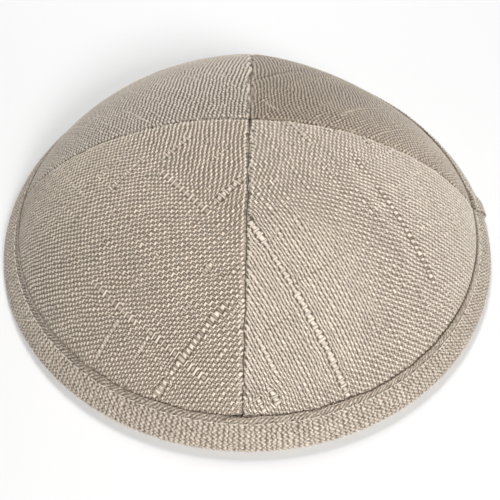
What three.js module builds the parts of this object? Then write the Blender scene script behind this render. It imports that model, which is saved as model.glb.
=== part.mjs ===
// A kippah skullcap: four crown panels of slubby plain-weave cloth, and a bound rim band.
// Millimetres, +Z up. The front is at -Y and the wearer's left is at +X.
// The origin is on the surface that the rim rests on, under the middle of the crown.
import * as THREE from "three";

// Sizes of the rim and the crown
const rimWidth = 176.6; // from side to side, at the rim's outermost line
const rimLength = 184.2; // from front to back, at the same line
const crownHeight = 49.7; // from the surface that the cap rests on to the top
const bandRise = 9.7; // height of the band's upper edge
const bandReach = 6.2; // how far the band's upper edge lies inside the outermost line
const restWidth = 1.5; // width of the flat ring that the cap rests on

// Cloth and sewing
const panelWall = 1.4; // thickness of a crown panel
const bandLeaf = 1.0; // thickness of each leaf of the folded band
const sewnClearance = 0.3; // between a panel and each leaf of the band
const seamGap = 0.3; // between two neighbouring panels
const seamDip = 0.6; // depth of the valley along a seam
const seamDipWidth = 2.2; // from the seam to the foot of that valley's side
const stitchGroove = 0.2; // depth of the groove along the band's stitch line
const bandPuff = 0.35; // how far the band swells below its stitch line

// Lap of the band's ends, at the wearer's left
const lapAzimuth = 3.5; // degrees from +X to the folded end that shows
const lapLength = 13; // from the folded end back to where the lap fades out
const lapRise = 1.1; // how far the upper end stands proud of the band
const lapSlant = 3.4; // how far the folded end leans along the rim, from edge to fold

// Powers of the crown's meridian: turnPower draws the radius in, risePower lifts the height
const turnPower = 0.93;
const risePower = 1.66;
const settleShare = 0.5; // share of the meridian over which a panel swells level with the band

// Sag of each panel's middle, as shares of its radius: the first grows evenly with height,
// the second mostly near the top.
const PANELS = [
  { name: "crown_panel_back_right", quarter: 0, evenSag: 0.145, topSag: 0.041 },
  { name: "crown_panel_back_left", quarter: 1, evenSag: 0.02, topSag: 0.038 },
  { name: "crown_panel_front_left", quarter: 2, evenSag: 0, topSag: 0 },
  { name: "crown_panel_front_right", quarter: 3, evenSag: 0, topSag: 0 },
];

// Swell of the band's face: along runs from its upper edge to its fold
const BAND_FACE = [
  { along: 0, proud: 0 },
  { along: 0.24, proud: -stitchGroove },
  { along: 0.5, proud: bandPuff * 0.7 },
  { along: 0.76, proud: bandPuff },
];

// Fineness of the facets
const panelRows = 17;
const panelColumns = 12;
const bandColumns = 96;
const foldTurns = 3;
const pocketTurns = 6;

const cloth = new THREE.MeshStandardMaterial({ color: 0xb5a48c, roughness: 0.86, metalness: 0 });
const binding = new THREE.MeshStandardMaterial({ color: 0xb9a98f, roughness: 0.84, metalness: 0 });

const quarterTurn = Math.PI / 2;
const { degToRad, lerp, smoothstep } = THREE.MathUtils;

// Places in the meridian plane are Vector2: x is the distance from the axis, y the height.
const rimRadius = (rimWidth + rimLength) / 4;
const ovality = (rimWidth - rimLength) / (rimWidth + rimLength);
const foldRadius = bandLeaf + sewnClearance + panelWall / 2;
const pocketRadius = foldRadius - bandLeaf;
const foldCentre = new THREE.Vector2(rimRadius - foldRadius, foldRadius);
const bandEdge = new THREE.Vector2(rimRadius - bandReach, bandRise);

// The band's face is the tangent from its upper edge to the fold.
const edgeToFold = foldCentre.clone().sub(bandEdge);
const bandSlope = Math.atan2(-edgeToFold.y, edgeToFold.x) - Math.asin(foldRadius / edgeToFold.length());
const bandDown = new THREE.Vector2(Math.cos(bandSlope), -Math.sin(bandSlope));
const bandOut = new THREE.Vector2(Math.sin(bandSlope), Math.cos(bandSlope));
const bandFaceLength = Math.sqrt(edgeToFold.lengthSq() - foldRadius ** 2);

// A place given by how far it is along the band's face from the edge, and how far out of it.
function bandPlace(along, out) {
  return bandEdge.clone().addScaledVector(bandDown, along).addScaledVector(bandOut, out);
}

// The rim is a little longer than it is wide, and every piece follows it.
function ovalShare(azimuth) {
  return 1 + ovality * Math.cos(2 * azimuth);
}

function placeAround(place, azimuth) {
  const radius = place.x * ovalShare(azimuth);
  return [radius * Math.cos(azimuth), radius * Math.sin(azimuth), place.y];
}

// Closed surface through a grid of points. Rows and columns that close on themselves are joined up.
function gridIndex(rows, columns, wrapRows, wrapColumns, offset, flip) {
  const index = [];
  const lastRow = wrapRows ? rows : rows - 1;
  const lastColumn = wrapColumns ? columns : columns - 1;
  for (let row = 0; row < lastRow; row += 1) {
    for (let column = 0; column < lastColumn; column += 1) {
      const a = offset + row * columns + column;
      const b = offset + row * columns + ((column + 1) % columns);
      const c = offset + ((row + 1) % rows) * columns + ((column + 1) % columns);
      const d = offset + ((row + 1) % rows) * columns + column;
      if (flip) index.push(a, d, c, a, c, b);
      else index.push(a, b, c, a, c, d);
    }
  }
  return index;
}

function makeMesh(name, positions, index, material) {
  const geometry = new THREE.BufferGeometry();
  geometry.setAttribute("position", new THREE.Float32BufferAttribute(positions.flat(), 3));
  geometry.setIndex(index);
  geometry.computeVertexNormals();
  const mesh = new THREE.Mesh(geometry, material);
  mesh.name = name;
  return mesh;
}

// The outer line of a crown panel in the meridian plane, with no sag: share 0 is at the band's
// upper edge, where the panel dips under the leaf, and 1 is at the top.
function crownPlace(share) {
  const turn = share * quarterTurn;
  const tucked = (bandLeaf + sewnClearance) * (1 - smoothstep(share, 0, settleShare));
  const radius = bandEdge.x * Math.cos(turn) ** turnPower;
  const height = bandEdge.y + (crownHeight - bandEdge.y) * Math.sin(turn) ** risePower;
  return new THREE.Vector2(radius, height).addScaledVector(bandOut, -tucked);
}

// The same line with the panel's sag at one place across it, from the end in the band's
// pocket to the tip. Each row also holds how much of the seam's valley it has.
function panelRowsAt(panel, across) {
  const tipRadius = 2 * seamGap;
  const tipShare = Math.acos((tipRadius / bandEdge.x) ** (1 / turnPower)) / quarterTurn;
  const pocketEnd = bandPlace(bandFaceLength - sewnClearance, -bandLeaf - sewnClearance);
  const pocketMiddle = bandPlace(bandFaceLength / 2, -bandLeaf - sewnClearance);
  const rows = [
    { place: pocketEnd, valley: 0 },
    { place: pocketMiddle, valley: 0 },
  ];
  for (let row = 0; row <= panelRows; row += 1) {
    const share = (tipShare * row) / panelRows;
    const sag = share * (panel.evenSag + panel.topSag * share) * Math.sin(Math.PI * across);
    const place = crownPlace(share);
    place.x *= 1 - sag;
    rows.push({ place, valley: smoothstep(row, 0, 1) });
  }
  return rows;
}

// Outward direction of a line of rows at one row, square to the line through its neighbours
function outwardAt(rows, row) {
  const before = rows[Math.max(row - 1, 0)].place;
  const after = rows[Math.min(row + 1, rows.length - 1)].place;
  const along = after.clone().sub(before).normalize();
  return new THREE.Vector2(along.y, -along.x);
}

// Columns across a panel: a few close to each seam, where the valley is, and even ones between.
// Each is a distance from the nearer seam's plane where near is set, or a share of the rest.
function panelColumnAngles(radius) {
  const valleyWidth = Math.min(seamDipWidth, radius / 5);
  const nearSeam = [0, 0.45, 1].map((share) => Math.asin((seamGap / 2 + share * valleyWidth) / radius));
  const first = nearSeam[nearSeam.length - 1];
  const angles = [...nearSeam];
  for (let column = 1; column < panelColumns; column += 1) {
    angles.push(lerp(first, quarterTurn - first, column / panelColumns));
  }
  angles.push(...nearSeam.map((angle) => quarterTurn - angle).reverse());
  return angles;
}

// Depth of the seam's valley at a distance from the seam's plane
function valleyDepth(distance) {
  return seamDip * (1 - smoothstep(distance, 0, seamDipWidth)) ** 1.5;
}

function crownPanel(panel) {
  const rowCount = panelRows + 3;
  const columnCount = panelColumns + 5;
  const outer = [];
  const inner = [];
  for (let row = 0; row < rowCount; row += 1) {
    const radius = panelRowsAt(panel, 0)[row].place.x;
    for (const angle of panelColumnAngles(radius)) {
      const line = panelRowsAt(panel, angle / quarterTurn);
      const out = outwardAt(line, row);
      const seamDistance = radius * Math.sin(Math.min(angle, quarterTurn - angle));
      const depth = line[row].valley * valleyDepth(seamDistance);
      const azimuth = panel.quarter * quarterTurn + angle;
      const face = line[row].place.clone().addScaledVector(out, -depth);
      outer.push(placeAround(face, azimuth));
      inner.push(placeAround(face.addScaledVector(out, -panelWall), azimuth));
    }
  }
  const innerStart = outer.length;
  const index = [
    ...gridIndex(rowCount, columnCount, false, false, 0, false),
    ...gridIndex(rowCount, columnCount, false, false, innerStart, true),
  ];
  const at = (row, column) => row * columnCount + column;
  const border = [];
  for (let column = 0; column < columnCount - 1; column += 1) border.push(at(0, column));
  for (let row = 0; row < rowCount - 1; row += 1) border.push(at(row, columnCount - 1));
  for (let column = columnCount - 1; column > 0; column -= 1) border.push(at(rowCount - 1, column));
  for (let row = rowCount - 1; row > 0; row -= 1) border.push(at(row, 0));
  border.forEach((a, step) => {
    const b = border[(step + 1) % border.length];
    index.push(a, a + innerStart, b + innerStart, a, b + innerStart, b);
  });
  return makeMesh(panel.name, [...outer, ...inner], index, cloth);
}

// The band's section, a closed loop: down the face, round the fold with its flat foot, up the
// inner leaf, over its edge, and back through the pocket that holds the panels. Each point
// has how much of the lap's rise it takes, and its place along the face for the lap's slant.
function bandSection() {
  const downAngle = Math.PI - bandSlope; // from straight down to the face's outward direction
  const flatAngle = Math.asin(restWidth / 2 / foldRadius);
  const onCircle = (radius, angle) =>
    new THREE.Vector2(foldCentre.x + radius * Math.sin(angle), foldCentre.y - radius * Math.cos(angle));
  const section = [];
  for (const { along, proud } of BAND_FACE) {
    section.push({ place: bandPlace(along * bandFaceLength, proud), lap: 1, along });
  }
  for (let turn = 0; turn < foldTurns; turn += 1) {
    const angle = lerp(downAngle, flatAngle, turn / foldTurns);
    section.push({ place: onCircle(foldRadius, angle), lap: Math.cos(downAngle - angle), along: 1 });
  }
  for (const side of [1, -1]) {
    const place = new THREE.Vector2(foldCentre.x + (side * restWidth) / 2, 0);
    section.push({ place, lap: 0, along: 1 });
  }
  section.push({ place: onCircle(foldRadius, -bandSlope), lap: 0, along: 1 });
  section.push({ place: bandPlace(bandFaceLength / 2, -2 * foldRadius), lap: 0, along: 0.5 });
  section.push({ place: bandPlace(0, -2 * foldRadius), lap: 0, along: 0 });
  section.push({ place: bandPlace(-bandLeaf / 3, bandLeaf / 2 - 2 * foldRadius), lap: 0, along: 0 });
  section.push({ place: bandPlace(0, bandLeaf - 2 * foldRadius), lap: 0, along: 0 });
  for (let turn = 0; turn <= pocketTurns; turn += 1) {
    const angle = lerp(-bandSlope, downAngle, turn / pocketTurns);
    section.push({ place: onCircle(pocketRadius, angle), lap: 0, along: 1 });
  }
  section.push({ place: bandPlace(0, -bandLeaf), lap: 0, along: 0 });
  section.push({ place: bandPlace(-bandLeaf / 3, -bandLeaf / 2), lap: 0.5, along: 0 });
  return section;
}

// Azimuths of the band's columns: even ones, with a few at the lap in place of those near them
const lapTurn = degToRad(lapAzimuth);
const lapSpan = lapLength / rimRadius;
const lapStep = lapRise / 3 / rimRadius; // the folded end is a steep step
function bandAzimuths() {
  const atLap = [-lapStep, 0, lapSpan / 2, lapSpan].map((turn) => lapTurn + turn);
  const step = (4 * quarterTurn) / bandColumns;
  const even = Array.from({ length: bandColumns }, (_, column) => column * step);
  const clear = even.filter((azimuth) =>
    atLap.every((lap) => Math.abs(Math.atan2(Math.sin(azimuth - lap), Math.cos(azimuth - lap))) > step / 3),
  );
  return [...clear, ...atLap].sort((a, b) => a - b);
}

// The lap's rise at a turn past its folded end: all of it there, half way back, and then fading
function lapShare(turn) {
  if (turn < 0 || turn > lapSpan) return 0;
  return 1 - smoothstep(turn, lapSpan / 2, lapSpan);
}

function rimBand() {
  const section = bandSection();
  const slantTurn = lapSlant / rimRadius;
  const slantReach = 3 * lapSpan;
  const positions = [];
  const azimuths = bandAzimuths();
  for (const azimuth of azimuths) {
    const turn = Math.atan2(Math.sin(azimuth - lapTurn), Math.cos(azimuth - lapTurn));
    const lean = slantTurn * Math.max(0, 1 - Math.abs(turn) / slantReach);
    for (const { place, lap, along } of section) {
      const raised = place.clone().addScaledVector(bandOut, lapRise * lap * lapShare(turn));
      positions.push(placeAround(raised, azimuth + lean * (along - 0.5)));
    }
  }
  const index = gridIndex(azimuths.length, section.length, true, true, 0, false);
  return makeMesh("rim_band", positions, index, binding);
}

const kippah = new THREE.Group();
for (const panel of PANELS) kippah.add(crownPanel(panel));
kippah.add(rimBand());

export default kippah;
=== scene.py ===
import math

import bpy
import numpy as np
from mathutils import Matrix, Vector


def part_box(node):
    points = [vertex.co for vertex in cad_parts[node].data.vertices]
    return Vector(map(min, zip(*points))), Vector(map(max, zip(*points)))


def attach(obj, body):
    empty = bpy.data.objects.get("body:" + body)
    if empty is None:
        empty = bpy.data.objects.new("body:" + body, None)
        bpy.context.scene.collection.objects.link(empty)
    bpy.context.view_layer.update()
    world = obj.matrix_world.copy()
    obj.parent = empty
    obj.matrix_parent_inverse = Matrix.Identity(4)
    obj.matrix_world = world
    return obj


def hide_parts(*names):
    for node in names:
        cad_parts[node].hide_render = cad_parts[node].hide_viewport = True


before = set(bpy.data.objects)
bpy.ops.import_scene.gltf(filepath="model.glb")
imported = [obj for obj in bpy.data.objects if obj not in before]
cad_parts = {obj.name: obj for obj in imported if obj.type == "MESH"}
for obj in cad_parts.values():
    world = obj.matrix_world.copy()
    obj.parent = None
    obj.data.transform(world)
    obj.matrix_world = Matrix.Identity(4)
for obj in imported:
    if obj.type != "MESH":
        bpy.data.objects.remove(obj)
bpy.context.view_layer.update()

# Crown cloth. A slubby plain weave with its warp yarns close and proud and its weft yarns thin
# and low, so that each warp float shows as a light dash between dark gaps. It is soft spun yarn
# with a slight sheen. Lengths here are in millimetres until a mesh is made.
METRES_PER_MM = 0.001
YARN_PITCH = 1.0
YARN_SPREAD = 0.13  # how unlike each other the yarns' widths are, as a share of the pitch
YARN_THICKNESS = 0.6
NODES_PER_YARN = 3  # the line before a yarn and its two shoulders
FLOAT_SHOULDERS = 0.17, 0.36  # from a warp float's middle to its shoulders, across and along the warp
WEFT_SHOULDERS = 0.36, 0.15  # the same of a weft float
WARP_OVERRUN = 0.20  # how far a warp float lies over the wefts at its ends
WANDER = 0.15  # how far the line between two yarns strays
WANDER_LENGTH = 5.0  # over which it strays
FLOAT_RELIEF = 1.0
RELIEF_NOISE = 0.06
CHANGE_LENGTH = 16.0  # over which the even and the odd pits' reliefs change places
TIGHT_WEFT, TIGHT_CREASE = 0.74, 0.50  # relief where the cloth is drawn tight along its warp
TIGHT_PIT = 0.4  # share of the pits' relief that is lost there
TIGHT_FADE = 16.0
SWELL, SWELL_TURN = 0.2, 0.9  # share of a slub that swells and shrinks along it, and its turn per mm
GIVE_WAY_YARNS = 3.0  # how many yarns beside a slub give way to it
MINOR_SLUBS = 70  # slight thick places over a panel's cloth, drawn at random from these ranges
MINOR_OFF, MINOR_START, MINOR_LENGTH = (-66, 66), (-70, 62), (3, 13)
MINOR_EXTRA, MINOR_TAPER = (0.15, 0.6), 1.5
SURFACE_RELIEF = 0.6  # the relief that lies level with the modelled surface
MOUTH_RELIEF = 0.5  # the least where the cloth meets the band
HIGH_CONTRAST = 0.9  # how much stronger the painted shade and highlight by relief are at the top than at the band

# The colours by relief are painted shade in the gaps between the yarns and a painted highlight on their
# crests.
VALLEY_SHADE_COLOUR = (0.145, 0.112, 0.080, 1)
YARN_COLOUR = (0.40, 0.337, 0.270, 1)
CREST_HIGHLIGHT_COLOUR = (0.80, 0.706, 0.600, 1)
VALLEY_PLACE, YARN_PLACE = 0.08, 0.5  # the relief at which those colours are reached
SHADE = 0.69  # of a float whose tones are all 0, and what each tone adds at most
FLOAT_SHADE, YARN_SHADE, BLOTCH_SHADE, FIBRE_SHADE = 0.24, 0.10, 0.10, 0.22
BLOTCH_SCALE = 0.06
FIBRES_ACROSS, FIBRES_ALONG = 9, 1.1
FIBRE_DEPTH = 0.00005  # metres
FIBRE_STRENGTH = 0.7
VALLEY_ROUGHNESS, CREST_GLOSS = 0.85, 0.32
SHEEN, SHEEN_ROUGHNESS = 0.38, 0.4
PAINTED_LIGHT_SPAN = -6.0, -36.0  # where the painted light toward one side starts and where it is full, across the warp


class Value:
    """A shader socket that adds Math nodes when it is used in an expression."""

    def __init__(self, maker, socket):
        self.maker, self.socket = maker, socket

    def math(self, operation, other):
        return self.maker.node("ShaderNodeMath", {"operation": operation}, [self, other])

    def __add__(self, other):
        return self.math("ADD", other)

    def __mul__(self, other):
        return self.math("MULTIPLY", other)

    def __sub__(self, other):
        return self.math("SUBTRACT", other)

    def __rsub__(self, other):
        return self * -1 + other

    __radd__, __rmul__ = __add__, __mul__


class Maker:
    """Adds nodes to one material, each from its type, its settings and its sockets' values or links."""

    def __init__(self, name):
        self.material = bpy.data.materials.new(name)
        self.material.use_nodes = True
        self.tree = self.material.node_tree
        self.tree.nodes.clear()

    def node(self, kind, settings=None, inputs=None, output=0):
        made = self.tree.nodes.new(kind)
        for key, value in (settings or {}).items():
            setattr(made, key, value)
        for key, value in inputs.items() if isinstance(inputs, dict) else enumerate(inputs or []):
            if isinstance(value, Value):
                self.tree.links.new(value.socket, made.inputs[key])
            else:
                made.inputs[key].default_value = value
        return Value(self, made.outputs[output]) if made.outputs else made

    def attribute(self, name):
        """The three parts of a piece's own vector attribute."""
        vector = self.node("ShaderNodeAttribute", {"attribute_name": name}, output="Vector")
        parts = self.node("ShaderNodeSeparateXYZ", inputs=[vector]).socket.node
        return [Value(self, output) for output in parts.outputs]

    def ramp(self, factor, stops):
        """A colour that runs through stops, pairs of a place from 0 to 1 and a colour."""
        made = self.node("ShaderNodeValToRGB", inputs=[factor])
        elements = made.socket.node.color_ramp.elements
        for element, (place, colour) in zip([elements[0], elements[1]], [stops[0], stops[-1]]):
            element.position, element.color = place, colour
        for place, colour in stops[1:-1]:
            elements.new(place).color = colour
        return made

    def mix(self, blend, factor, first, second):
        settings = {"data_type": "RGBA", "blend_type": blend}
        return self.node("ShaderNodeMix", settings, {0: factor, 6: first, 7: second}, output=2)

    def noise(self, x, y, z, scale):
        place = self.node("ShaderNodeCombineXYZ", inputs=[x, y, z])
        return self.node("ShaderNodeTexNoise", inputs={"Vector": place, "Scale": scale, "Detail": 3.0})


def cloth_material(name, brightness, warm, lit_side_brightness=None):
    """Woven cloth. Its colour runs by relief from painted shade in the dark gaps over the yarn to a
    painted highlight on the lit crest, and differs a little from float to float and yarn to yarn;
    fibres lie along the upper yarn.
    Toward one side the brightness changes to lit_side_brightness, a painted light on that side."""
    make = Maker(name)
    side, down, warp_over = make.attribute("weave")
    # Painted light: the colour grows lighter toward one side of the panel.
    if lit_side_brightness is not None:
        turned = [side, *PAINTED_LIGHT_SPAN, brightness, lit_side_brightness]
        brightness = make.node("ShaderNodeMapRange", inputs=turned)
    relief, float_tone, yarn_tone = make.attribute("yarn")
    # Painted shade in the gaps and a painted highlight on the crests, by relief.
    stops = [(VALLEY_PLACE, VALLEY_SHADE_COLOUR), (YARN_PLACE, YARN_COLOUR), (1.0, CREST_HIGHLIGHT_COLOUR)]
    colour = make.ramp(relief, stops)
    blotch = make.noise(side, down, 0.0, BLOTCH_SCALE)
    warp_fibres = make.noise(side * FIBRES_ACROSS, down * FIBRES_ALONG, 0.0, 1.0)
    weft_fibres = make.noise(side * FIBRES_ALONG, down * FIBRES_ACROSS, 5.0, 1.0)
    fibres = warp_fibres * warp_over + weft_fibres * (1 - warp_over)
    shade = SHADE + FLOAT_SHADE * float_tone + YARN_SHADE * yarn_tone + BLOTCH_SHADE * blotch
    shade = (shade + FIBRE_SHADE * fibres) * brightness
    colour = make.mix("MULTIPLY", 1.0, colour, shade)
    colour = make.mix("MULTIPLY", 1.0, colour, warm)
    bump = make.node("ShaderNodeBump", inputs={
        "Strength": FIBRE_STRENGTH, "Distance": FIBRE_DEPTH, "Height": fibres})
    surface = make.node("ShaderNodeBsdfPrincipled", inputs={
        "Base Color": colour, "Roughness": VALLEY_ROUGHNESS - relief * CREST_GLOSS,
        "Specular IOR Level": 0.45, "Sheen Weight": SHEEN, "Sheen Roughness": SHEEN_ROUGHNESS,
        "Normal": bump})
    make.node("ShaderNodeOutputMaterial", inputs=[surface])
    return make.material


def make_mesh(name, points, quads, triangles, material):
    """A smooth-shaded mesh object from arrays of points in millimetres and faces."""
    mesh = bpy.data.meshes.new(name)
    corners = np.concatenate([quads.ravel(), triangles.ravel()])
    starts = np.concatenate([np.arange(len(quads)) * 4, quads.size + np.arange(len(triangles)) * 3])
    mesh.vertices.add(len(points))
    mesh.vertices.foreach_set("co", (points * METRES_PER_MM).astype(np.float32).ravel())
    mesh.loops.add(len(corners))
    mesh.loops.foreach_set("vertex_index", corners.astype(np.int32))
    mesh.polygons.add(len(starts))
    mesh.polygons.foreach_set("loop_start", starts.astype(np.int32))
    mesh.polygons.foreach_set("use_smooth", np.ones(len(starts), bool))
    mesh.update(calc_edges=True)
    mesh.validate()
    mesh.materials.append(material)
    piece = bpy.data.objects.new(name, mesh)
    bpy.context.collection.objects.link(piece)
    return piece


def keep_on_points(piece, name, values):
    """Stores a vector at each point of the piece, for its material to read."""
    layer = piece.data.attributes.new(name, "FLOAT_VECTOR", "POINT")
    layer.data.foreach_set("vector", values.astype(np.float32).ravel())


def ease(value):
    """Rises from 0 to 1 as 3v^2 - 2v^3, level at both ends."""
    value = np.clip(value, 0, 1)
    return value * value * (3 - 2 * value)


def wander(table, line, place):
    """The stray of a line at a place along it, in steps of the table's columns: eased from one
    value of its row to the next, and even from row to row."""
    place = np.clip(place, 0, table.shape[1] - 1.001)
    line = np.clip(line, 0, table.shape[0] - 1.001)
    column, row = place.astype(int), line.astype(int)
    blend, mix = ease(place - column), line - row
    here = table[row, column] * (1 - blend) + table[row, column + 1] * blend
    there = table[row + 1, column] * (1 - blend) + table[row + 1, column + 1] * blend
    return here * (1 - mix) + there * mix


# Crown panels. Each is a quarter of the crown, cut from one layer of the cloth with the warp down
# its middle, sewn to its neighbours along turned seams that lie in shallow valleys, and held at
# its lower edge in the fold of the rim band.
rim_low, rim_high = (np.array(corner) / METRES_PER_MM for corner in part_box("rim_band"))
RIM_WIDTH = -2 * rim_low[0]
RIM_LENGTH = rim_high[1] - rim_low[1]
CROWN_HEIGHT = 49.7
BAND_RISE = 9.7
BAND_REACH = 6.2
PANEL_WALL = 1.4
BAND_LEAF = 1.0
SEWN_CLEARANCE = 0.3
TUCK = 0.6  # how far below the band's outer face the crown's cloth meets its turned edge
EDGE_ROOM, EDGE_REACH = 0.06, 0.9  # kept free under the band's turned edge, and how far up
MOUTH_FADE = 0.03  # share of the meridian over which the seams' valleys start
SEAM_DIP = 0.32
SEAM_DIP_WIDTH = 1.5
SEAM_ROLLS = 0.24, 0.42, 0.04, 0.36  # extra depth of the cloth's turned edge at each seam, from +X
SEAM_ROLL_WIDTH = 0.16
TIP_ROLL, TIP_ROLL_RADIUS = 0.2, 4  # share of the roll at the tip, and where all of it is reached
SEAM_LIGHT = 0.22  # painted highlight, as relief in the colour, on the row of yarn that is drawn up beside a seam
SEAM_LIGHT_OFF, SEAM_LIGHT_WIDTH = 0.9, 0.4
SEAM_SLIT = 0.10  # from a seam's middle to each turned edge
SEAM_WAVER = 0.16  # how far the seam strays from its plane
SEAM_KNOTS = 60  # places along a seam where its stray is drawn
WAVER_RADIUS = 8  # from the axis, where all of the stray is reached
BORDER_REACH = 0.75 * YARN_PITCH  # how far off the outline a node may be that is drawn onto it
TURN_IN_DEPTHS = 1.1, 1.25  # of the two lines along which a seam's edge turns in
LINING_SHRINKS = np.linspace(1, 0.08, 12)  # of the rings of a panel's inner face
CREASE_DEPTH, CREASE_WIDTH, CREASE_FADE = 0.45, 0.9, 5.0
TIP_RADIUS = 0.3
TURN_POWER = 0.93
RISE_POWER = 1.66
SETTLE_SHARE = 0.5

rim_radius = (RIM_WIDTH + RIM_LENGTH) / 4
ovality = (RIM_WIDTH - RIM_LENGTH) / (RIM_WIDTH + RIM_LENGTH)
fold_radius = BAND_LEAF + SEWN_CLEARANCE + PANEL_WALL / 2
fold_centre = np.array([rim_radius - fold_radius, fold_radius])
band_edge = np.array([rim_radius - BAND_REACH, BAND_RISE])
edge_to_fold = fold_centre - band_edge
band_slope = math.atan2(-edge_to_fold[1], edge_to_fold[0]) - math.asin(fold_radius / np.hypot(*edge_to_fold))
band_down = np.array([math.cos(band_slope), -math.sin(band_slope)])
band_out = np.array([math.sin(band_slope), math.cos(band_slope)])
band_face_length = math.sqrt(edge_to_fold @ edge_to_fold - fold_radius ** 2)

# The round crown through the band's edge and the top, on which the flat cloth is laid out
ball_drop = (band_edge @ band_edge - CROWN_HEIGHT ** 2) / (2 * (CROWN_HEIGHT - band_edge[1]))
ball_radius = CROWN_HEIGHT + ball_drop
mouth_polar = math.asin(band_edge[0] / ball_radius)
middle_polar = 0.55 * mouth_polar
PANEL_SPAN = 76  # half the side of a square of cloth that covers a panel
quarter_turn = math.pi / 2


def crown_line(share):
    """Distance from the axis and height of the crown's meridian, 0 at the band and 1 at the top:
    powers of the cosine and the sine of a quarter turn, let in under the band's leaf."""
    turn = np.clip(share, 0, 1) * math.pi / 2
    tucked = TUCK * (1 - ease(share / SETTLE_SHARE))
    radius = band_edge[0] * np.cos(turn) ** TURN_POWER - tucked * band_out[0]
    height = band_edge[1] + (CROWN_HEIGHT - band_edge[1]) * np.sin(turn) ** RISE_POWER
    return radius, height - tucked * band_out[1]


def around(radius, height, azimuth):
    """Points at those radii and heights, with the radius drawn out along Y into the rim's oval."""
    radius, height, azimuth = np.broadcast_arrays(radius, height, azimuth)
    radius = radius * (1 + ovality * np.cos(2 * azimuth))
    return np.stack([radius * np.cos(azimuth), radius * np.sin(azimuth), height], -1)


def crown_points(panel, share, azimuth):
    """Points on a panel's smooth outer face: the meridian, sagging in the middle of the panel."""
    radius, height = crown_line(share)
    across = azimuth / quarter_turn - panel["quarter"]
    sag = share * (panel["even_sag"] + panel["top_sag"] * share) * np.sin(math.pi * np.clip(across, 0, 1))
    return around(radius * (1 - sag), height, azimuth)


def crown_normals(panel, share, azimuth):
    """Outward directions there, square to a small step round the crown and one up it."""
    step = 0.004
    low, high = np.clip(share - step, 0.001, 1), np.clip(share + step, 0, 0.999)
    up = crown_points(panel, high, azimuth) - crown_points(panel, low, azimuth)
    side = crown_points(panel, share, azimuth + step) - crown_points(panel, share, azimuth - step)
    normal = np.cross(side, up)
    return normal / np.linalg.norm(normal, axis=-1, keepdims=True)


share_table = np.linspace(0, 1, 400)
table_radius, table_height = crown_line(share_table)
polar_table = np.arctan2(table_radius, table_height + ball_drop)


def lay_on_crown(panel, down, side):
    """Share and azimuth of flat cloth: down and side are distances from the panel's middle, kept
    true along every line through it on the round crown."""
    distance = np.maximum(np.hypot(down, side), 1e-9)
    turn = distance / ball_radius
    along_down, along_side = np.sin(turn) * down / distance, np.sin(turn) * side / distance
    x = np.cos(turn) * math.sin(middle_polar) + along_down * math.cos(middle_polar)
    z = np.cos(turn) * math.cos(middle_polar) - along_down * math.sin(middle_polar)
    polar = np.arccos(np.clip(z, -1, 1))
    share = np.interp(polar, polar_table[::-1], share_table[::-1])
    share = np.where(polar > polar_table[0], (polar_table[0] - polar) / mouth_polar, share)
    return share, np.arctan2(along_side, x) + (panel["quarter"] + 0.5) * quarter_turn


def lift_off_crown(panel, share, azimuth):
    """The reverse of lay_on_crown: down and side of places on the crown."""
    polar = np.interp(share, share_table, polar_table)
    turn = azimuth - (panel["quarter"] + 0.5) * quarter_turn
    x, side, z = np.sin(polar) * np.cos(turn), np.sin(polar) * np.sin(turn), np.cos(polar)
    down = x * math.cos(middle_polar) - z * math.sin(middle_polar)
    cosine = x * math.sin(middle_polar) + z * math.cos(middle_polar)
    stretch = ball_radius * np.arccos(np.clip(cosine, -1, 1)) / np.maximum(np.hypot(down, side), 1e-9)
    return down * stretch, side * stretch


def crossing_nodes(panel, yarns):
    """The grid of nodes of a square of plain weave. Returns the warp and weft places in yarns,
    the relief, whether the warp is over, and the nodes' numbers within their yarns, 0 for the
    line before a yarn. Each float runs over its neighbours at its ends, so the lines zigzag."""
    node = np.arange(yarns * NODES_PER_YARN + 1)
    column, row = np.meshgrid(node, node, indexing="ij")
    warp_yarn, weft_yarn = column // NODES_PER_YARN, row // NODES_PER_YARN
    warp_node, weft_node = column % NODES_PER_YARN, row % NODES_PER_YARN
    warp_over = (warp_yarn + weft_yarn) % 2 == 0
    toward = np.where(warp_over, 1, -1)
    off_line = np.array([0.0, -1.0, 1.0])
    across, along = (np.where(warp_over, warp, weft) for warp, weft in zip(FLOAT_SHOULDERS, WEFT_SHOULDERS))
    warp_line = np.where(weft_node == 0, 0, toward * panel["weft_overrun"])
    weft_line = np.where(warp_node == 0, 0, -toward * WARP_OVERRUN)
    across = off_line[warp_node] * across + off_line[weft_node] * warp_over * panel["lean"]
    warp = warp_yarn + np.where(warp_node == 0, warp_line, 0.5 + across)
    weft = weft_yarn + np.where(weft_node == 0, weft_line, 0.5 + off_line[weft_node] * along)
    side, down = ((yarn - yarns / 2) * YARN_PITCH for yarn in (warp_yarn, weft_yarn))
    even, odd = panel["pit_reliefs"]
    changed = np.zeros(down.shape)
    if "change_down" in panel:
        changed = ease((panel["change_down"] + CHANGE_LENGTH / 2 - down) / CHANGE_LENGTH)
    pit = np.where(warp_over, even + (odd - even) * changed, odd + (even - odd) * changed)
    tight = np.zeros(down.shape)
    if "tight_place" in panel:
        middle_down, middle_side, reach = panel["tight_place"]
        tight = 1 - ease((np.hypot(down - middle_down, side - middle_side) - reach) / TIGHT_FADE)
    pit = pit * (1 - TIGHT_PIT * tight)
    weft_over = panel["weft_relief"] + (TIGHT_WEFT - panel["weft_relief"]) * tight
    crossing = np.where(warp_over, FLOAT_RELIEF, weft_over)
    crease = panel["crease_relief"] + (TIGHT_CREASE - panel["crease_relief"]) * tight
    between = np.where(weft_node == 0, pit, panel["gap_relief"])
    relief = np.where(warp_node == 0, between, np.where(weft_node == 0, crease, crossing))
    return warp, weft, relief, warp_over, warp_node, weft_node


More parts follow.
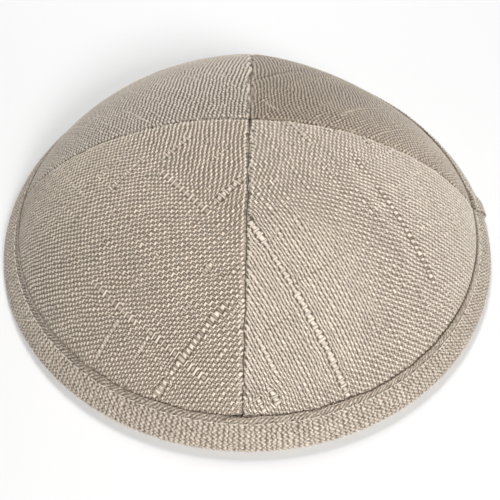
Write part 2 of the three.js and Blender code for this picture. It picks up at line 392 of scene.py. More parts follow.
def yarn_lines(chance, yarns):
    """Places of the lines between yarns of unequal width, from minus to plus half their span."""
    widths = np.exp(chance.normal(0, YARN_SPREAD, yarns))
    lines = np.concatenate([[0], np.cumsum(widths)])
    return (lines / lines[-1] - 0.5) * yarns * YARN_PITCH


def slub(runs, off, start, end, extra, taper=2.0, proud=0.2, fill=0.7, painted_shade=0.22):
    """A thick place of a yarn: off is the yarn's distance from the panel's middle line, start and
    end are places along it, extra is its added width, and proud how much of that it also rises.
    Its crossings rise toward its floats by fill, or sink where it is below 0, and its floats'
    relief shows less by painted_shade, a painted shade for floats that face away from the light."""
    return dict(
        runs=runs, off=off, start=start, end=end, extra=extra, taper=taper, proud=proud, fill=fill,
        painted_shade=painted_shade)


def minor_slubs(chance):
    """Short and slight thick places on yarns drawn at random."""
    made = []
    for _ in range(MINOR_SLUBS):
        off, start, length = (
            chance.uniform(*limits) for limits in (MINOR_OFF, MINOR_START, MINOR_LENGTH))
        runs = "warp" if chance.random() < 0.5 else "weft"
        extra = chance.uniform(*MINOR_EXTRA)
        made.append(slub(runs, off, start, start + length, extra, MINOR_TAPER))
    return made


def strength_of(slub, along):
    """How thick a slub is at a place along its yarn: eased in and out over its taper, with the
    swells of unevenly spun yarn."""
    ends = ease((along - slub["start"]) / slub["taper"]) * ease((slub["end"] - along) / slub["taper"])
    return ends * (1 - SWELL + SWELL * np.sin(along * SWELL_TURN + slub["off"]))


def give_way(index, yarn):
    """Sideways push, from -1 to 1, of a thick yarn: even across its own width, and less and less
    on its neighbours further off."""
    off = index - yarn
    return np.clip(off / 0.5, -1, 1) * np.exp(-np.maximum(np.abs(off) - 0.5, 0) / GIVE_WAY_YARNS)


def stray_of_seam(seam, share):
    """How far a seam strays from its plane: random values drawn for it, eased in between."""
    drawn = np.random.default_rng(100 + seam).normal(0, SEAM_WAVER, (2, SEAM_KNOTS + 2))
    return wander(drawn, np.zeros_like(share), np.clip(share, 0, 1) * SEAM_KNOTS)


def flat_cloth(panel, chance):
    """A square of cloth laid flat: side and down of each node, its relief, how much of that its
    slubs add and how much painted shade darkens their floats, whether the warp is over, and the
    tones of its float and of its yarn."""
    yarns = int(2 * PANEL_SPAN / YARN_PITCH)
    warp, weft, relief, warp_over, warp_node, weft_node = crossing_nodes(panel, yarns)
    columns = int(2 * PANEL_SPAN / WANDER_LENGTH) + 3
    warp_strays, weft_strays = (chance.normal(0, WANDER, (yarns + 2, columns)) for _ in range(2))
    lines = np.arange(yarns + 1)
    side = np.interp(warp, lines, yarn_lines(chance, yarns))
    side = side + wander(warp_strays, warp, weft / WANDER_LENGTH)
    down = np.interp(weft, lines, yarn_lines(chance, yarns))
    down = down + wander(weft_strays, weft, warp / WANDER_LENGTH)
    thick, smooth, painted_shade = np.zeros_like(side), np.zeros_like(side), np.zeros_like(side)
    for thick_place in panel["slubs"] + minor_slubs(chance):
        on_warp = thick_place["runs"] == "warp"
        index, along = (warp, down) if on_warp else (weft, side)
        yarn = math.floor(thick_place["off"] / YARN_PITCH + yarns / 2) + 0.5
        strength = strength_of(thick_place, along)
        push = thick_place["extra"] / 2 * strength * give_way(index, yarn)
        if on_warp:
            side = side + push
        else:
            down = down + push
        on_yarn = strength * (np.abs(index - yarn) < 0.5) * (warp_node > 0) * (weft_node > 0)
        thick = thick + thick_place["extra"] * thick_place["proud"] * on_yarn
        smooth = smooth + thick_place["fill"] * on_yarn
        # Painted shade on the slub's own floats.
        painted_shade = np.maximum(painted_shade, thick_place["painted_shade"] * on_yarn * (warp_over == on_warp))
    relief = relief + (FLOAT_RELIEF - relief) * np.minimum(smooth, 1) + thick
    relief = relief + chance.normal(0, RELIEF_NOISE, relief.shape)
    cells = (warp.astype(int).clip(0, yarns - 1), weft.astype(int).clip(0, yarns - 1))
    float_tone = chance.random((yarns, yarns))[cells]
    warp_tone, weft_tone = chance.random(yarns), chance.random(yarns)
    yarn_tone = np.where(warp_over, warp_tone[cells[0]], weft_tone[cells[1]])
    return side, down, relief, thick, painted_shade, warp_over, float_tone, yarn_tone


def touching(kept):
    """How many kept quads each node belongs to."""
    count = np.zeros((kept.shape[0] + 1, kept.shape[1] + 1), int)
    for across in (0, 1):
        for along in (0, 1):
            count[across:across + kept.shape[0], along:along + kept.shape[1]] += kept
    return count


def kept_quads(inside):
    """The quads whose corners are inside, but for those that hang by a single row of nodes."""
    kept = inside[:-1, :-1] & inside[1:, :-1] & inside[:-1, 1:] & inside[1:, 1:]
    for _ in range(3):
        whole = touching(kept) == 4
        kept = kept & (whole[:-1, :-1] | whole[1:, :-1] | whole[:-1, 1:] | whole[1:, 1:])
    return kept


def creased(crease, side, down):
    """Depth of the crease, a rounded groove along a straight line of the flat cloth."""
    start_down, start_side, end_down, end_side = crease
    run = np.array([end_down - start_down, end_side - start_side])
    length = np.hypot(*run)
    along = ((down - start_down) * run[0] + (side - start_side) * run[1]) / length
    off = ((down - start_down) * run[1] - (side - start_side) * run[0]) / length
    faded = ease((along + CREASE_FADE) / CREASE_FADE) * ease((length + CREASE_FADE - along) / CREASE_FADE)
    return CREASE_DEPTH * np.exp(-(off / CREASE_WIDTH) ** 2) * faded


def turned_in(panel, outer, quads, share, azimuth, on_mouth):
    """Closes an outer face. Its border turns in through the seam or into the band's pocket, and
    rings of the inner face shrink from there to a middle point. Returns all the points, the added
    quads and triangles, and the added points' flat places."""
    # A border edge belongs to one quad, so its reverse belongs to none.
    edges = np.concatenate([quads[:, [step, (step + 1) % 4]] for step in range(4)])
    code, reverse = edges @ [len(outer), 1], edges @ [1, len(outer)]
    edges = edges[~np.isin(code, reverse)]
    rim = np.unique(edges)
    rank = np.full(len(outer), -1)
    rank[rim] = np.arange(len(rim))
    rim_share, rim_azimuth, rim_mouth = share[rim], azimuth[rim], on_mouth[rim][:, None]
    rim_points = crown_points(panel, rim_share, rim_azimuth)
    rim_normals = crown_normals(panel, rim_share, rim_azimuth)
    rings = []
    for depth, out in zip(TURN_IN_DEPTHS, (0, PANEL_WALL)):
        place = band_edge + band_down * (band_face_length - SEWN_CLEARANCE)
        place = place - band_out * (BAND_LEAF + SEWN_CLEARANCE + out)
        in_pocket = around(place[0], place[1], rim_azimuth)
        rings.append(np.where(rim_mouth, in_pocket, rim_points - rim_normals * depth))
    rim_down, rim_side = lift_off_crown(panel, rim_share, rim_azimuth)
    for shrink in np.append(LINING_SHRINKS, 0):
        ring_share, ring_azimuth = lay_on_crown(panel, rim_down * shrink, rim_side * shrink)
        ring_share = np.clip(ring_share, 0, 1)
        ring = crown_points(panel, ring_share, ring_azimuth)
        rings.append(ring - crown_normals(panel, ring_share, ring_azimuth) * PANEL_WALL)
    middle = rings.pop()[:1]
    points = np.concatenate([outer, *rings, middle])
    loops = [rim] + [len(outer) + level * len(rim) + np.arange(len(rim)) for level in range(len(rings))]
    left, right = rank[edges].T
    walls = [np.stack([a[right], a[left], b[left], b[right]], -1) for a, b in zip(loops, loops[1:])]
    fan = np.stack([loops[-1][right], loops[-1][left], np.full(len(edges), len(points) - 1)], -1)
    scales = np.concatenate([[1, 1], LINING_SHRINKS])[:, None]
    flat = np.stack([(scales * rim_side).ravel(), (scales * rim_down).ravel()], -1)
    return points, np.concatenate(walls), fan, np.concatenate([flat, [[0, 0]]])


def woven_panel(name, panel, material):
    """A closed panel. Its outer face is a grid of yarn crossings laid on the crown and raised by
    the weave; quads past the panel's outline are left out and the border is drawn onto it."""
    chance = np.random.default_rng(panel["seed"])
    side, down, relief, thick, painted_shade, warp_over, float_tone, yarn_tone = flat_cloth(panel, chance)
    grain = math.radians(panel["grain_turn"])
    turned_down = down * math.cos(grain) + side * math.sin(grain)
    turned_side = side * math.cos(grain) - down * math.sin(grain)
    share, azimuth = lay_on_crown(panel, turned_down, turned_side)
    start = panel["quarter"] * quarter_turn
    turn = np.mod(azimuth - start + quarter_turn / 2, 4 * quarter_turn) - quarter_turn / 2
    radius = crown_line(share)[0]
    first_seam, second_seam = panel["quarter"], (panel["quarter"] + 1) % 4
    first_stray, second_stray = (
        stray_of_seam(seam, share) * ease(radius / WAVER_RADIUS) for seam in (first_seam, second_seam))
    first = np.where(np.abs(turn) < quarter_turn, radius * np.sin(turn), -radius)
    first = first - first_stray - SEAM_SLIT
    rest = quarter_turn - turn
    second = np.where(np.abs(rest) < quarter_turn, radius * np.sin(rest), -radius)
    second = second + second_stray - SEAM_SLIT
    above = share * ball_radius * mouth_polar
    kept = kept_quads((first > 0) & (second > 0) & (above > 0))
    used = touching(kept) > 0
    border = used & (touching(kept) < 4)

    # The border goes onto the nearest side of the outline, and onto two at a corner.
    nearest = np.minimum(np.minimum(first, second), above)
    on_first, on_second, on_mouth = (
        border & ((distance == nearest) | (distance < BORDER_REACH)) for distance in (first, second, above))
    tip_share = np.interp(-TIP_RADIUS, -table_radius, share_table)
    relief = np.where(on_mouth, np.maximum(relief, MOUTH_RELIEF), relief)
    share = np.minimum(np.where(on_mouth, 0.0, share), np.where(on_first & on_second, tip_share, 0.999))
    radius = np.maximum(crown_line(share)[0], TIP_RADIUS)
    first_turn = np.arcsin(np.clip((SEAM_SLIT + first_stray) / radius, -0.7, 0.7))
    second_turn = quarter_turn - np.arcsin(np.clip((SEAM_SLIT - second_stray) / radius, -0.7, 0.7))
    turn = np.where(on_second, second_turn, np.where(on_first, first_turn, turn))
    turn = np.where(on_second & on_first, quarter_turn / 2, turn)
    azimuth = start + turn

    seam_distance = np.where(on_first | on_second, 0, np.clip(np.minimum(first, second), 0, None))
    valley = SEAM_DIP * (1 - ease(seam_distance / SEAM_DIP_WIDTH)) ** 1.5 * ease(share / MOUTH_FADE)
    roll = np.where(turn < quarter_turn / 2, SEAM_ROLLS[first_seam], SEAM_ROLLS[second_seam])
    roll = roll * (TIP_ROLL + (1 - TIP_ROLL) * ease(radius / TIP_ROLL_RADIUS)) * ease(share / MOUTH_FADE)
    valley = valley + roll * np.exp(-seam_distance / SEAM_ROLL_WIDTH)
    if "crease" in panel:
        valley = valley + creased(panel["crease"], side, down)
    height = (relief - SURFACE_RELIEF) * YARN_THICKNESS - valley

    # Beside the mouth the cloth stays below the band's turned edge.
    from_edge = np.stack(crown_line(share), -1) - band_edge
    up, out = -(from_edge @ band_down), from_edge @ band_out
    room = ease((up - EDGE_REACH) / EDGE_REACH) - out - BAND_LEAF / 2 - EDGE_ROOM
    height = np.where(up < 2 * EDGE_REACH, np.minimum(height, room), height)
    points = crown_points(panel, share, azimuth) + crown_normals(panel, share, azimuth) * height[..., None]

    number = np.cumsum(used.ravel()).reshape(used.shape) - 1
    quads = np.stack([number[:-1, :-1], number[:-1, 1:], number[1:, 1:], number[1:, :-1]], -1)[kept]
    all_points, walls, fan, lining = turned_in(
        panel, points[used], quads, share[used], azimuth[used], on_mouth[used])
    piece = make_mesh(name, all_points, np.concatenate([quads, walls]), fan, material)

    # The inner faces are slivers round a plain middle, so they are shaded flat.
    shaded_smooth = np.arange(len(piece.data.polygons)) < len(quads)
    piece.data.polygons.foreach_set("use_smooth", shaded_smooth)
    weave = np.stack([side, down, warp_over], -1)[used]
    inner_weave = np.column_stack([lining, np.ones(len(lining))])
    keep_on_points(piece, "weave", np.concatenate([weave, inner_weave]))
    # A painted highlight on the row of yarn beside each seam.
    lit_row = SEAM_LIGHT * np.exp(-((seam_distance - SEAM_LIGHT_OFF) / SEAM_LIGHT_WIDTH) ** 2)
    # The shown relief sets the colour and roughness, not the shape; the slubs' floats take painted shade in
    # it.
    shown = relief - thick - painted_shade + lit_row
    # The painted shade and highlight grow stronger toward the top.
    shown = SURFACE_RELIEF + (shown - SURFACE_RELIEF) * (1 + HIGH_CONTRAST * np.clip(share, 0, 1))
    yarn = np.stack([shown, float_tone, yarn_tone], -1)[used]
    keep_on_points(piece, "yarn", np.concatenate([yarn, np.full((len(lining), 3), 0.5)]))
    return piece


# Turns are in degrees. pit_reliefs are those of the even and the odd pits between four floats, and
# change_down is how far down the cloth they change places. tight_place and crease give their
# places on the flat cloth as down and side.
# brightness, and the brightness toward one side, are painted light and shade: each panel is a lighter or
# darker copy of one cloth for how the light falls on it.
PANELS = {
    "crown_front_right": dict(
        node="crown_panel_front_right", quarter=3, even_sag=0.0, top_sag=0.0, grain_turn=7, seed=11,
        lean=0.06, weft_overrun=0.08, pit_reliefs=(1.0, 0.0), change_down=-20, tight_place=(6, -34, 19),
        gap_relief=-0.15, crease_relief=0.20, weft_relief=0.60, brightness=1.03, warmth=(1.0, 1.0, 1.0),
        slubs=[
            slub("warp", -29.5, -24, -8, 1.9, 4.0, 0.1, 0.9, 0.0),
            slub("warp", -29.5, -9, 4, 1.0, 2.0, 0.1, 0.8, 0.0),
            slub("warp", -29.5, 3, 44, 1.6, 3.0, 0.1, 0.9, 0.0),
            slub("warp", 12.0, -24, -12, 1.1, 3.0, 0.2, -0.4, 0.0),
            slub("warp", 12.0, -11, 30, 1.7, 3.0, 0.2, -0.4, 0.0),
            slub("warp", 17.0, 28, 44, 0.6),
            slub("warp", 30.0, -24, -12, 0.7),
            slub("warp", 3.0, -45, -31, 1.3),
            slub("warp", -46.0, 6, 30, 0.5, 4.0, 0.1, 0.4, 0.0),
            slub("weft", -18.5, 14, 34, 1.5, 2.0, 0.1, 0.0, 0.0),
            slub("weft", -28.0, -24, -14, 1.4),
            slub("weft", -13.5, -30, -21, 1.4),
            slub("weft", 2.0, -32, -8, -0.35, 2.0, 0.4, 0.0, 0.35),
            slub("weft", 9.0, -44, -34, -0.35, 2.0, 0.4, 0.0, 0.35),
            slub("weft", 29.0, -57, -48, 1.8, 2.0, 0.1, 0.4, 0.0),
            slub("warp", -49.5, 24, 32, 1.8, 1.5, 0.2, 0.6, 0.0),
            slub("warp", -53.5, 25, 32, 1.6, 1.5, 0.2, 0.6, 0.0),
        ]),
    "crown_front_left": dict(
        node="crown_panel_front_left", quarter=2, even_sag=0.0, top_sag=0.0, grain_turn=0, seed=12,
        lean=0.08, weft_overrun=0.10, pit_reliefs=(0.0, 0.9), change_down=-21,
        gap_relief=0.05, crease_relief=0.20, weft_relief=0.50, brightness=1.0, warmth=(1.0, 0.99, 0.97),
        slubs=[
            slub("warp", 17.5, -34, -20, 1.8),
            slub("warp", -8.0, -35, -20, 1.7),
            slub("warp", -13.5, -19, -2, 1.4),
            slub("warp", 41.75, -3, 26, 1.6, 3.0, 0.2, 0.0, 0.0),
            slub("warp", 41.75, 26, 34, 2.4, 1.5, 0.2, 0.2, 0.0),
            slub("warp", 18.5, 22, 38, 1.4),
            slub("warp", 29.5, 21, 31, 1.2),
            slub("warp", 30.0, -9, -3, 1.3),
            slub("weft", -19.5, -5, 19.5, 2.3),
            slub("weft", 19.5, 2, 24, 2.2, 3.0),
            slub("weft", 18.5, 24, 51, 2.4, 3.0),
            slub("weft", 8.0, 32, 48, 0.5),
            slub("weft", 2.0, -40, -20, 0.6),
        ]),
    "crown_back_left": dict(
        node="crown_panel_back_left", quarter=1, even_sag=0.02, top_sag=0.038, grain_turn=4, seed=13,
        lean=0.08, weft_overrun=0.10, pit_reliefs=(0.0, 1.0),
        gap_relief=-0.2, crease_relief=0.0, weft_relief=0.42, brightness=0.92, warmth=(1.0, 1.0, 1.0),
        slubs=[
            slub("warp", 20.0, -28, -6, 0.9, 3.0),
            slub("warp", -12.0, -8, 30, 0.8, 3.0),
            slub("warp", 34.0, 4, 26, 0.6),
            slub("weft", 16.0, -26, 4, 0.8),
        ]),
    "crown_back_right": dict(
        node="crown_panel_back_right", quarter=0, even_sag=0.145, top_sag=0.041, grain_turn=-3, seed=14,
        lean=0.08, weft_overrun=0.10, pit_reliefs=(0.9, 0.0),
        gap_relief=0.0, crease_relief=0.20, weft_relief=0.50, brightness=0.62, warmth=(1.05, 1.0, 0.93),
        lit_side_brightness=0.78, crease=(-38, 18, -6, 17.5), slubs=[
            slub("warp", -16.0, -22, 12, 0.7, 3.0),
            slub("warp", 9.0, -6, 26, 0.9, 3.0),
            slub("weft", -8.0, 4, 30, 0.7),
            slub("weft", 22.0, -20, 6, 0.8),
        ]),
}
for name, panel in PANELS.items():
    cloth = cloth_material(
        name + "_cloth", panel["brightness"], (*panel["warmth"], 1), panel.get("lit_side_brightness"))
    piece = woven_panel(name, panel, cloth)
    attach(piece, "root")
    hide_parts(panel["node"])

# Rim band. A strip of the same cloth cut on the bias, folded round the crown's lower edge with its
# upper edge turned under, and closed by a lap at the right, where the end is folded in and lies on
# top. On the bias the floats stand in columns down the band and lean across it.
BAND_PITCH = 1.56  # between columns of floats, along the band
BAND_ROW_PITCH = 1.25  # between floats of a column
NODES_PER_FLOAT = 4
BAND_RELIEF = 0.48
# Relief of one float and its neighbour: a column for each node along the band, a row for each
# down it. Above the stitch line the cloth is drawn tight and its floats lean.
FACE_RELIEF = np.array([
    [1.10, 0.62, 0.20, 0.18],
    [0.50, 0.70, 0.52, 0.10],
    [0.15, 0.60, 1.05, 0.30],
    [0.50, 0.66, 0.50, 0.10],
])
TIGHT_RELIEF = np.array([
    [1.00, 0.30, 0.05, 0.30],
    [0.30, 0.08, 0.30, 0.85],
    [0.05, 0.30, 0.60, 0.30],
    [0.30, 0.85, 0.30, 0.08],
])
REST_WIDTH = 1.5
STITCH_GROOVE = 0.2
BAND_PUFF = 0.35
FACE_ALONG = [0, 0.24, 0.5, 0.76, 1.0]
FACE_PROUD = [0, -STITCH_GROOVE, 0.7 * BAND_PUFF, BAND_PUFF, 0]
LAP_TURN = math.radians(0.5)
LAP_LENGTH = 13
LAP_RISE = 1.1
LAP_SLANT = 3.4
BAND_WANDER = 0.24
ROWS_PER_STRAY = 3
BAND_NOISE = 0.14
STITCH_LINE = 0.24 * band_face_length
EDGE_WAVER = 0.15
EDGE_KNOTS = 130  # places round the rim where the upper edge's stray is drawn
EDGE_STRAY_DEPTH = 1.5
POCKET_WALL = 0.8 * BAND_LEAF  # thickness of the outer leaf half way down its face

row_step = BAND_ROW_PITCH / NODES_PER_FLOAT
down_angle = math.pi - band_slope
flat_angle = math.asin(REST_WIDTH / 2 / fold_radius)


def on_face(along, out):
    """Places in the meridian plane, along the band's face from its edge and out of it."""
    along, out = np.broadcast_arrays(along, out)
    return band_edge + along[:, None] * band_down + out[:, None] * band_out


def on_fold(radius, angle):
    """Places on a circle round the fold's middle, at angles from straight down."""
    return fold_centre + radius * np.stack([np.sin(angle), -np.cos(angle)], -1)


def turned_edge(out, angles):
    """The half round of a turned edge, with its middle out of the band's face."""
    return on_face(-BAND_LEAF / 2 * np.sin(angles), out - BAND_LEAF / 2 * np.cos(angles))


def band_section():
    """The band's section as a closed loop of places, and for each its share of the weave, its
    share of the lap's rise, and its distance from the upper edge along the face. It runs round
    the turned edge, down the face, round the fold and its flat foot, up the inner leaf, and back
    through the pocket that holds the panels."""
    face = np.arange(0, band_face_length, row_step)
    proud = np.interp(face / band_face_length, FACE_ALONG, FACE_PROUD)
    fold = np.linspace(down_angle, flat_angle, round((down_angle - flat_angle) * fold_radius / row_step) + 1)
    edge = np.linspace(0, math.pi, 6)[:-1]
    coarse = np.linspace(0, 1, 3)
    inner_out = -2 * fold_radius
    parts = [
        (turned_edge(0, edge), ease(1 - np.cos(edge)), (1 - np.cos(edge)) / 2, 0 * edge),
        (on_face(face, proud), 1, 1, face),
        (on_fold(fold_radius, fold), 1, np.cos(down_angle - fold).clip(0, 1), band_face_length),
        (on_fold(fold_radius, np.linspace(-flat_angle, -band_slope, 5)), 0, 0, band_face_length),
        (on_face(band_face_length * (1 - coarse[1:]), inner_out), 0, 0, 0),
        (turned_edge(inner_out + BAND_LEAF, math.pi - edge[::-1][:-1]), 0, 0, 0),
        (on_face(band_face_length * coarse, inner_out + BAND_LEAF), 0, 0, 0),
        (on_fold(fold_radius - BAND_LEAF, np.linspace(-band_slope, down_angle, 6)[1:]), 0, 0, 0),
        (on_face(band_face_length * (1 - coarse[1:-1]), -POCKET_WALL), 0, 0, 0),
    ]
    places = np.concatenate([part[0] for part in parts])
    others = [np.concatenate([np.broadcast_to(part[k], len(part[0])) for part in parts]) for k in (1, 2, 3)]
    return places, *others


def lap_share(turn):
    """The lap's rise past its folded end: all of it there, half way back, and then fading."""
    turned = turn / (LAP_LENGTH / rim_radius)
    return np.where((turned < 0) | (turned > 1), 0, 1 - ease((turned - 0.5) * 2))


def band_surface(azimuth, places, woven, lap, along, chance):
    """Points of the band at each azimuth and each place of its section, with its smooth swells:
    the upper edge strays up and down, and the lap's end leans along the rim."""
    columns = len(azimuth)
    turn = np.mod(azimuth - LAP_TURN + math.pi, 2 * math.pi) - math.pi
    lean = LAP_SLANT / rim_radius * np.maximum(0, 1 - np.abs(turn) * rim_radius / (3 * LAP_LENGTH))
    knots = chance.normal(0, EDGE_WAVER, (2, EDGE_KNOTS))
    knots[:, -1] = knots[:, 0]
    stray = wander(knots, np.zeros(columns), azimuth / (2 * math.pi) * (EDGE_KNOTS - 1))
    fade = woven * np.exp(-along / EDGE_STRAY_DEPTH)
    shift = stray[:, None] * fade
    rise = LAP_RISE * lap * lap_share(turn)[:, None]
    place = places[None] - shift[..., None] * band_down + rise[..., None] * band_out
    return place, azimuth[:, None] + lean[:, None] * (along / band_face_length - 0.5)


def woven_band(name, material):
    """The closed band: its section carried round the rim, raised by the weave where it shows."""
    chance = np.random.default_rng(21)
    places, woven, lap, along = band_section()
    before, after = np.roll(places, 1, axis=0), np.roll(places, -1, axis=0)
    tangents = after - before
    normals = np.stack([-tangents[:, 1], tangents[:, 0]], -1)
    normals = normals / np.linalg.norm(normals, axis=1, keepdims=True)
    repeats = round(2 * math.pi * rim_radius / BAND_PITCH)
    columns = repeats * NODES_PER_FLOAT
    column, row = np.meshgrid(np.arange(columns), np.arange(len(places)), indexing="ij")
    node = (row % NODES_PER_FLOAT, column % NODES_PER_FLOAT)
    relief = np.where(along < STITCH_LINE, TIGHT_RELIEF[node], FACE_RELIEF[node])
    relief = relief + chance.normal(0, BAND_NOISE, relief.shape)
    azimuth = np.arange(columns) / columns * 2 * math.pi
    place, turned = band_surface(azimuth, places, woven, lap, along, chance)
    strays = chance.normal(0, BAND_WANDER, (len(places) // ROWS_PER_STRAY + 3, repeats + 2))
    stray = wander(strays, row / ROWS_PER_STRAY, column / columns * repeats)
    turned = turned + stray * woven / rim_radius
    height = (relief - SURFACE_RELIEF) * BAND_RELIEF * woven
    place = place + normals[None] * height[..., None]
    points = around(place[..., 0], place[..., 1], turned).reshape(-1, 3)
    ids = np.arange(len(points)).reshape(column.shape)
    right, below = np.roll(ids, -1, axis=0), np.roll(ids, -1, axis=1)
    quads = np.stack([ids, below, np.roll(right, -1, axis=1), right], -1).reshape(-1, 4)
    piece = make_mesh(name, points, quads, np.zeros((0, 3), int), material)
    run = column / NODES_PER_FLOAT * BAND_PITCH
    drop = row * row_step
    diagonal = math.sqrt(0.5)
    weave = np.stack([(run - drop) * diagonal, (run + drop) * diagonal, np.ones(run.shape)], -1)
    tone_columns, tone_rows = (column + 1) // 2, (row + 1) // 2
    tones = chance.random((columns // 2 + 2, len(places) // 2 + 2))
    tone = tones[tone_columns, tone_rows]
    # The band's relief also sets its colour's painted shade in the gaps and painted highlight on the crests.
    shown = np.where(woven > 0, relief, 0.5)
    keep_on_points(piece, "weave", weave.reshape(-1, 3))
    keep_on_points(piece, "yarn", np.stack([shown, tone, np.full(tone.shape, 0.5)], -1).reshape(-1, 3))
    return piece


band_cloth = cloth_material("band_cloth", 1.05, (1.0, 1.0, 1.0, 1))
band = woven_band("band_cloth_strip", band_cloth)
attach(band, "root")
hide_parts("rim_band")

# Stitching. One line of machine stitches holds the band's outer leaf: light thread, laid in the
# shallow groove below the band's upper edge, each stitch dipping into the cloth at its ends.
STITCH_PITCH = 3.4
STITCH_LENGTH = 2.5
THREAD_RADIUS = 0.17
STITCH_LIFT = 0.12
STITCH_SINK = 0.42  # how far its ends dip
END_SLIMMING = 0.55  # share of the thread's radius that its ends lose
STITCH_STRAY = 0.07  # of its place, as a share of the pitch
STITCH_LEAN, LEAN_SPREAD = 0.10, 0.06
THREAD_SIDES, THREAD_STEPS = 6, 9
THREAD_COLOUR = (0.78, 0.73, 0.62, 1)


def stitch_line(name, material):
    """All the stitches as one mesh. Each is a round thread along the rim whose height is a half
    wave, closed by a fan at each end; it leans a little and strays from the line at random."""
    chance = np.random.default_rng(31)
    stitches = round(2 * math.pi * (band_edge[0] + 1) / STITCH_PITCH)
    strayed = np.arange(stitches) + chance.uniform(-STITCH_STRAY, STITCH_STRAY, stitches)
    middle = strayed / stitches * 2 * math.pi
    lean = chance.normal(STITCH_LEAN, LEAN_SPREAD, stitches)
    length = STITCH_LENGTH * chance.uniform(0.85, 1.1, stitches)
    step = np.linspace(-0.5, 0.5, THREAD_STEPS)
    side = np.arange(THREAD_SIDES) / THREAD_SIDES * 2 * math.pi
    run = length[:, None, None] * step[None, :, None] * np.ones(THREAD_SIDES)
    slim = THREAD_RADIUS * (1 - END_SLIMMING * np.abs(2 * step) ** 6)[None, :, None]
    lifted = STITCH_LIFT - STITCH_SINK * np.abs(2 * step) ** 4
    out = lifted[None, :, None] + slim * np.sin(side) - STITCH_GROOVE
    along = STITCH_LINE + lean[:, None, None] * -run + slim * np.cos(side)
    azimuth = middle[:, None, None] + run / band_edge[0]
    turn = np.mod(azimuth - LAP_TURN + math.pi, 2 * math.pi) - math.pi
    out = out + LAP_RISE * lap_share(turn)
    place = band_edge + along[..., None] * band_down + out[..., None] * band_out
    points = around(place[..., 0], place[..., 1], azimuth)
    ids = np.arange(points[..., 0].size).reshape(stitches, THREAD_STEPS, THREAD_SIDES)
    ahead, round_ = ids[:, 1:], np.roll(ids, -1, axis=2)
    quads = np.stack([ids[:, :-1], ahead, np.roll(ahead, -1, axis=2), round_[:, :-1]], -1).reshape(-1, 4)
    fans = []
    for corner in range(1, THREAD_SIDES - 1):
        fans.append(ids[:, 0, [0, corner, corner + 1]])
        fans.append(ids[:, -1, [0, corner + 1, corner]])
    piece = make_mesh(name, points.reshape(-1, 3), quads, np.concatenate(fans), material)
    keep_on_points(piece, "weave", np.stack([run, along, azimuth * band_edge[0]], -1).reshape(-1, 3))
    return piece


def thread_material():
    """Soft twisted thread: light, with the slant lines of its ply."""
    make = Maker("stitch_thread")
    run, along, round_rim = make.attribute("weave")
    ply = make.noise(round_rim * 3, along * 3, run * 3, 2.0)
    colour = make.mix("MULTIPLY", 1.0, THREAD_COLOUR, 0.8 + 0.35 * ply)
    bump = make.node("ShaderNodeBump", inputs={"Strength": 0.6, "Distance": FIBRE_DEPTH, "Height": ply})
    surface = make.node("ShaderNodeBsdfPrincipled", inputs={
        "Base Color": colour, "Roughness": 0.55, "Sheen Weight": 0.2, "Normal": bump})
    make.node("ShaderNodeOutputMaterial", inputs=[surface])
    return make.material


stitches = stitch_line("band_stitches", thread_material())
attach(stitches, "root")

# Floor, light and camera. A pale floor under soft studio light with the key from the front right,
# and the camera at the photograph's angle.
FLOOR_HALF = 3.0
floor_mesh = bpy.data.meshes.new("floor")
corners = [(x * FLOOR_HALF, y * FLOOR_HALF, 0) for x, y in ((-1, -1), (1, -1), (1, 1), (-1, 1))]
floor_mesh.from_pydata(corners, [], [(0, 1, 2, 3)])
floor = bpy.data.objects.new("floor", floor_mesh)
bpy.context.collection.objects.link(floor)
paint = Maker("floor_paint")
white = paint.node("ShaderNodeBsdfPrincipled", inputs={"Base Color": (0.9, 0.9, 0.9, 1), "Roughness": 0.9})
paint.node("ShaderNodeOutputMaterial", inputs=[white])
floor_mesh.materials.append(paint.material)

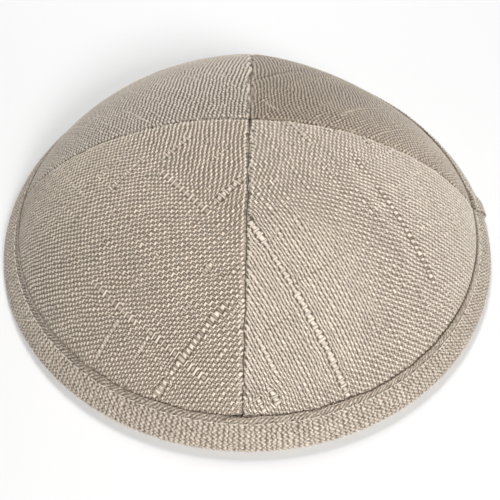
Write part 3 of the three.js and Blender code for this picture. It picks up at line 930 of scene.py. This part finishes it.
scene = bpy.context.scene
scene.view_settings.view_transform = "Standard"
world = bpy.data.worlds.new("studio")
world.use_nodes = True
sky = world.node_tree.nodes["Background"]
sky.inputs["Color"].default_value = (1, 1, 1, 1)
sky.inputs["Strength"].default_value = 0.25
scene.world = world
# Each lamp is named with its azimuth from +X, its elevation, its size in metres and its power.
LAMPS = {
    "key": (292, 31, 0.22, 6.0),
    "back": (97, 55, 0.25, 4.6),
}
LAMP_DISTANCE = 0.9
for name, (turn, rise, size, power) in LAMPS.items():
    lamp = bpy.data.lights.new(name, "AREA")
    lamp.size, lamp.energy = size, power
    turn, rise = math.radians(turn), math.radians(rise)
    back = Vector((math.cos(rise) * math.cos(turn), math.cos(rise) * math.sin(turn), math.sin(rise)))
    holder = bpy.data.objects.new(name, lamp)
    holder.location = back * LAMP_DISTANCE
    holder.rotation_euler = (-back).to_track_quat("-Z", "Y").to_euler()
    bpy.context.collection.objects.link(holder)

CAMERA_ELEVATION = math.radians(46.784)
CAMERA_ROLL = math.radians(1.216)
CAMERA_DISTANCE = 0.277356
CAMERA_TARGET = Vector((0.002532, 0, 0.000294))
FOCAL_PIXELS = 740.268
IMAGE_PIXELS = 500
MIDDLE_RIGHT_PIXELS = 5.386  # the lens axis lies this far right of and above the picture's middle
MIDDLE_UP_PIXELS = 27.889
back = Vector((0, -math.cos(CAMERA_ELEVATION), math.sin(CAMERA_ELEVATION)))
right = (-back).cross(Vector((0, 0, 1))).normalized()
up = right.cross(-back)
right, up = (right * math.cos(CAMERA_ROLL) + up * math.sin(CAMERA_ROLL),
             up * math.cos(CAMERA_ROLL) - right * math.sin(CAMERA_ROLL))
lens = bpy.data.cameras.new("camera")
lens.sensor_width = 36
lens.lens = FOCAL_PIXELS / IMAGE_PIXELS * lens.sensor_width
lens.shift_x = -MIDDLE_RIGHT_PIXELS / IMAGE_PIXELS
lens.shift_y = -MIDDLE_UP_PIXELS / IMAGE_PIXELS
lens.clip_start = 0.01
camera = bpy.data.objects.new("camera", lens)
turned = Matrix((right, up, back)).transposed().to_4x4()
camera.matrix_world = Matrix.Translation(CAMERA_TARGET + back * CAMERA_DISTANCE) @ turned
bpy.context.collection.objects.link(camera)
scene.camera = camera
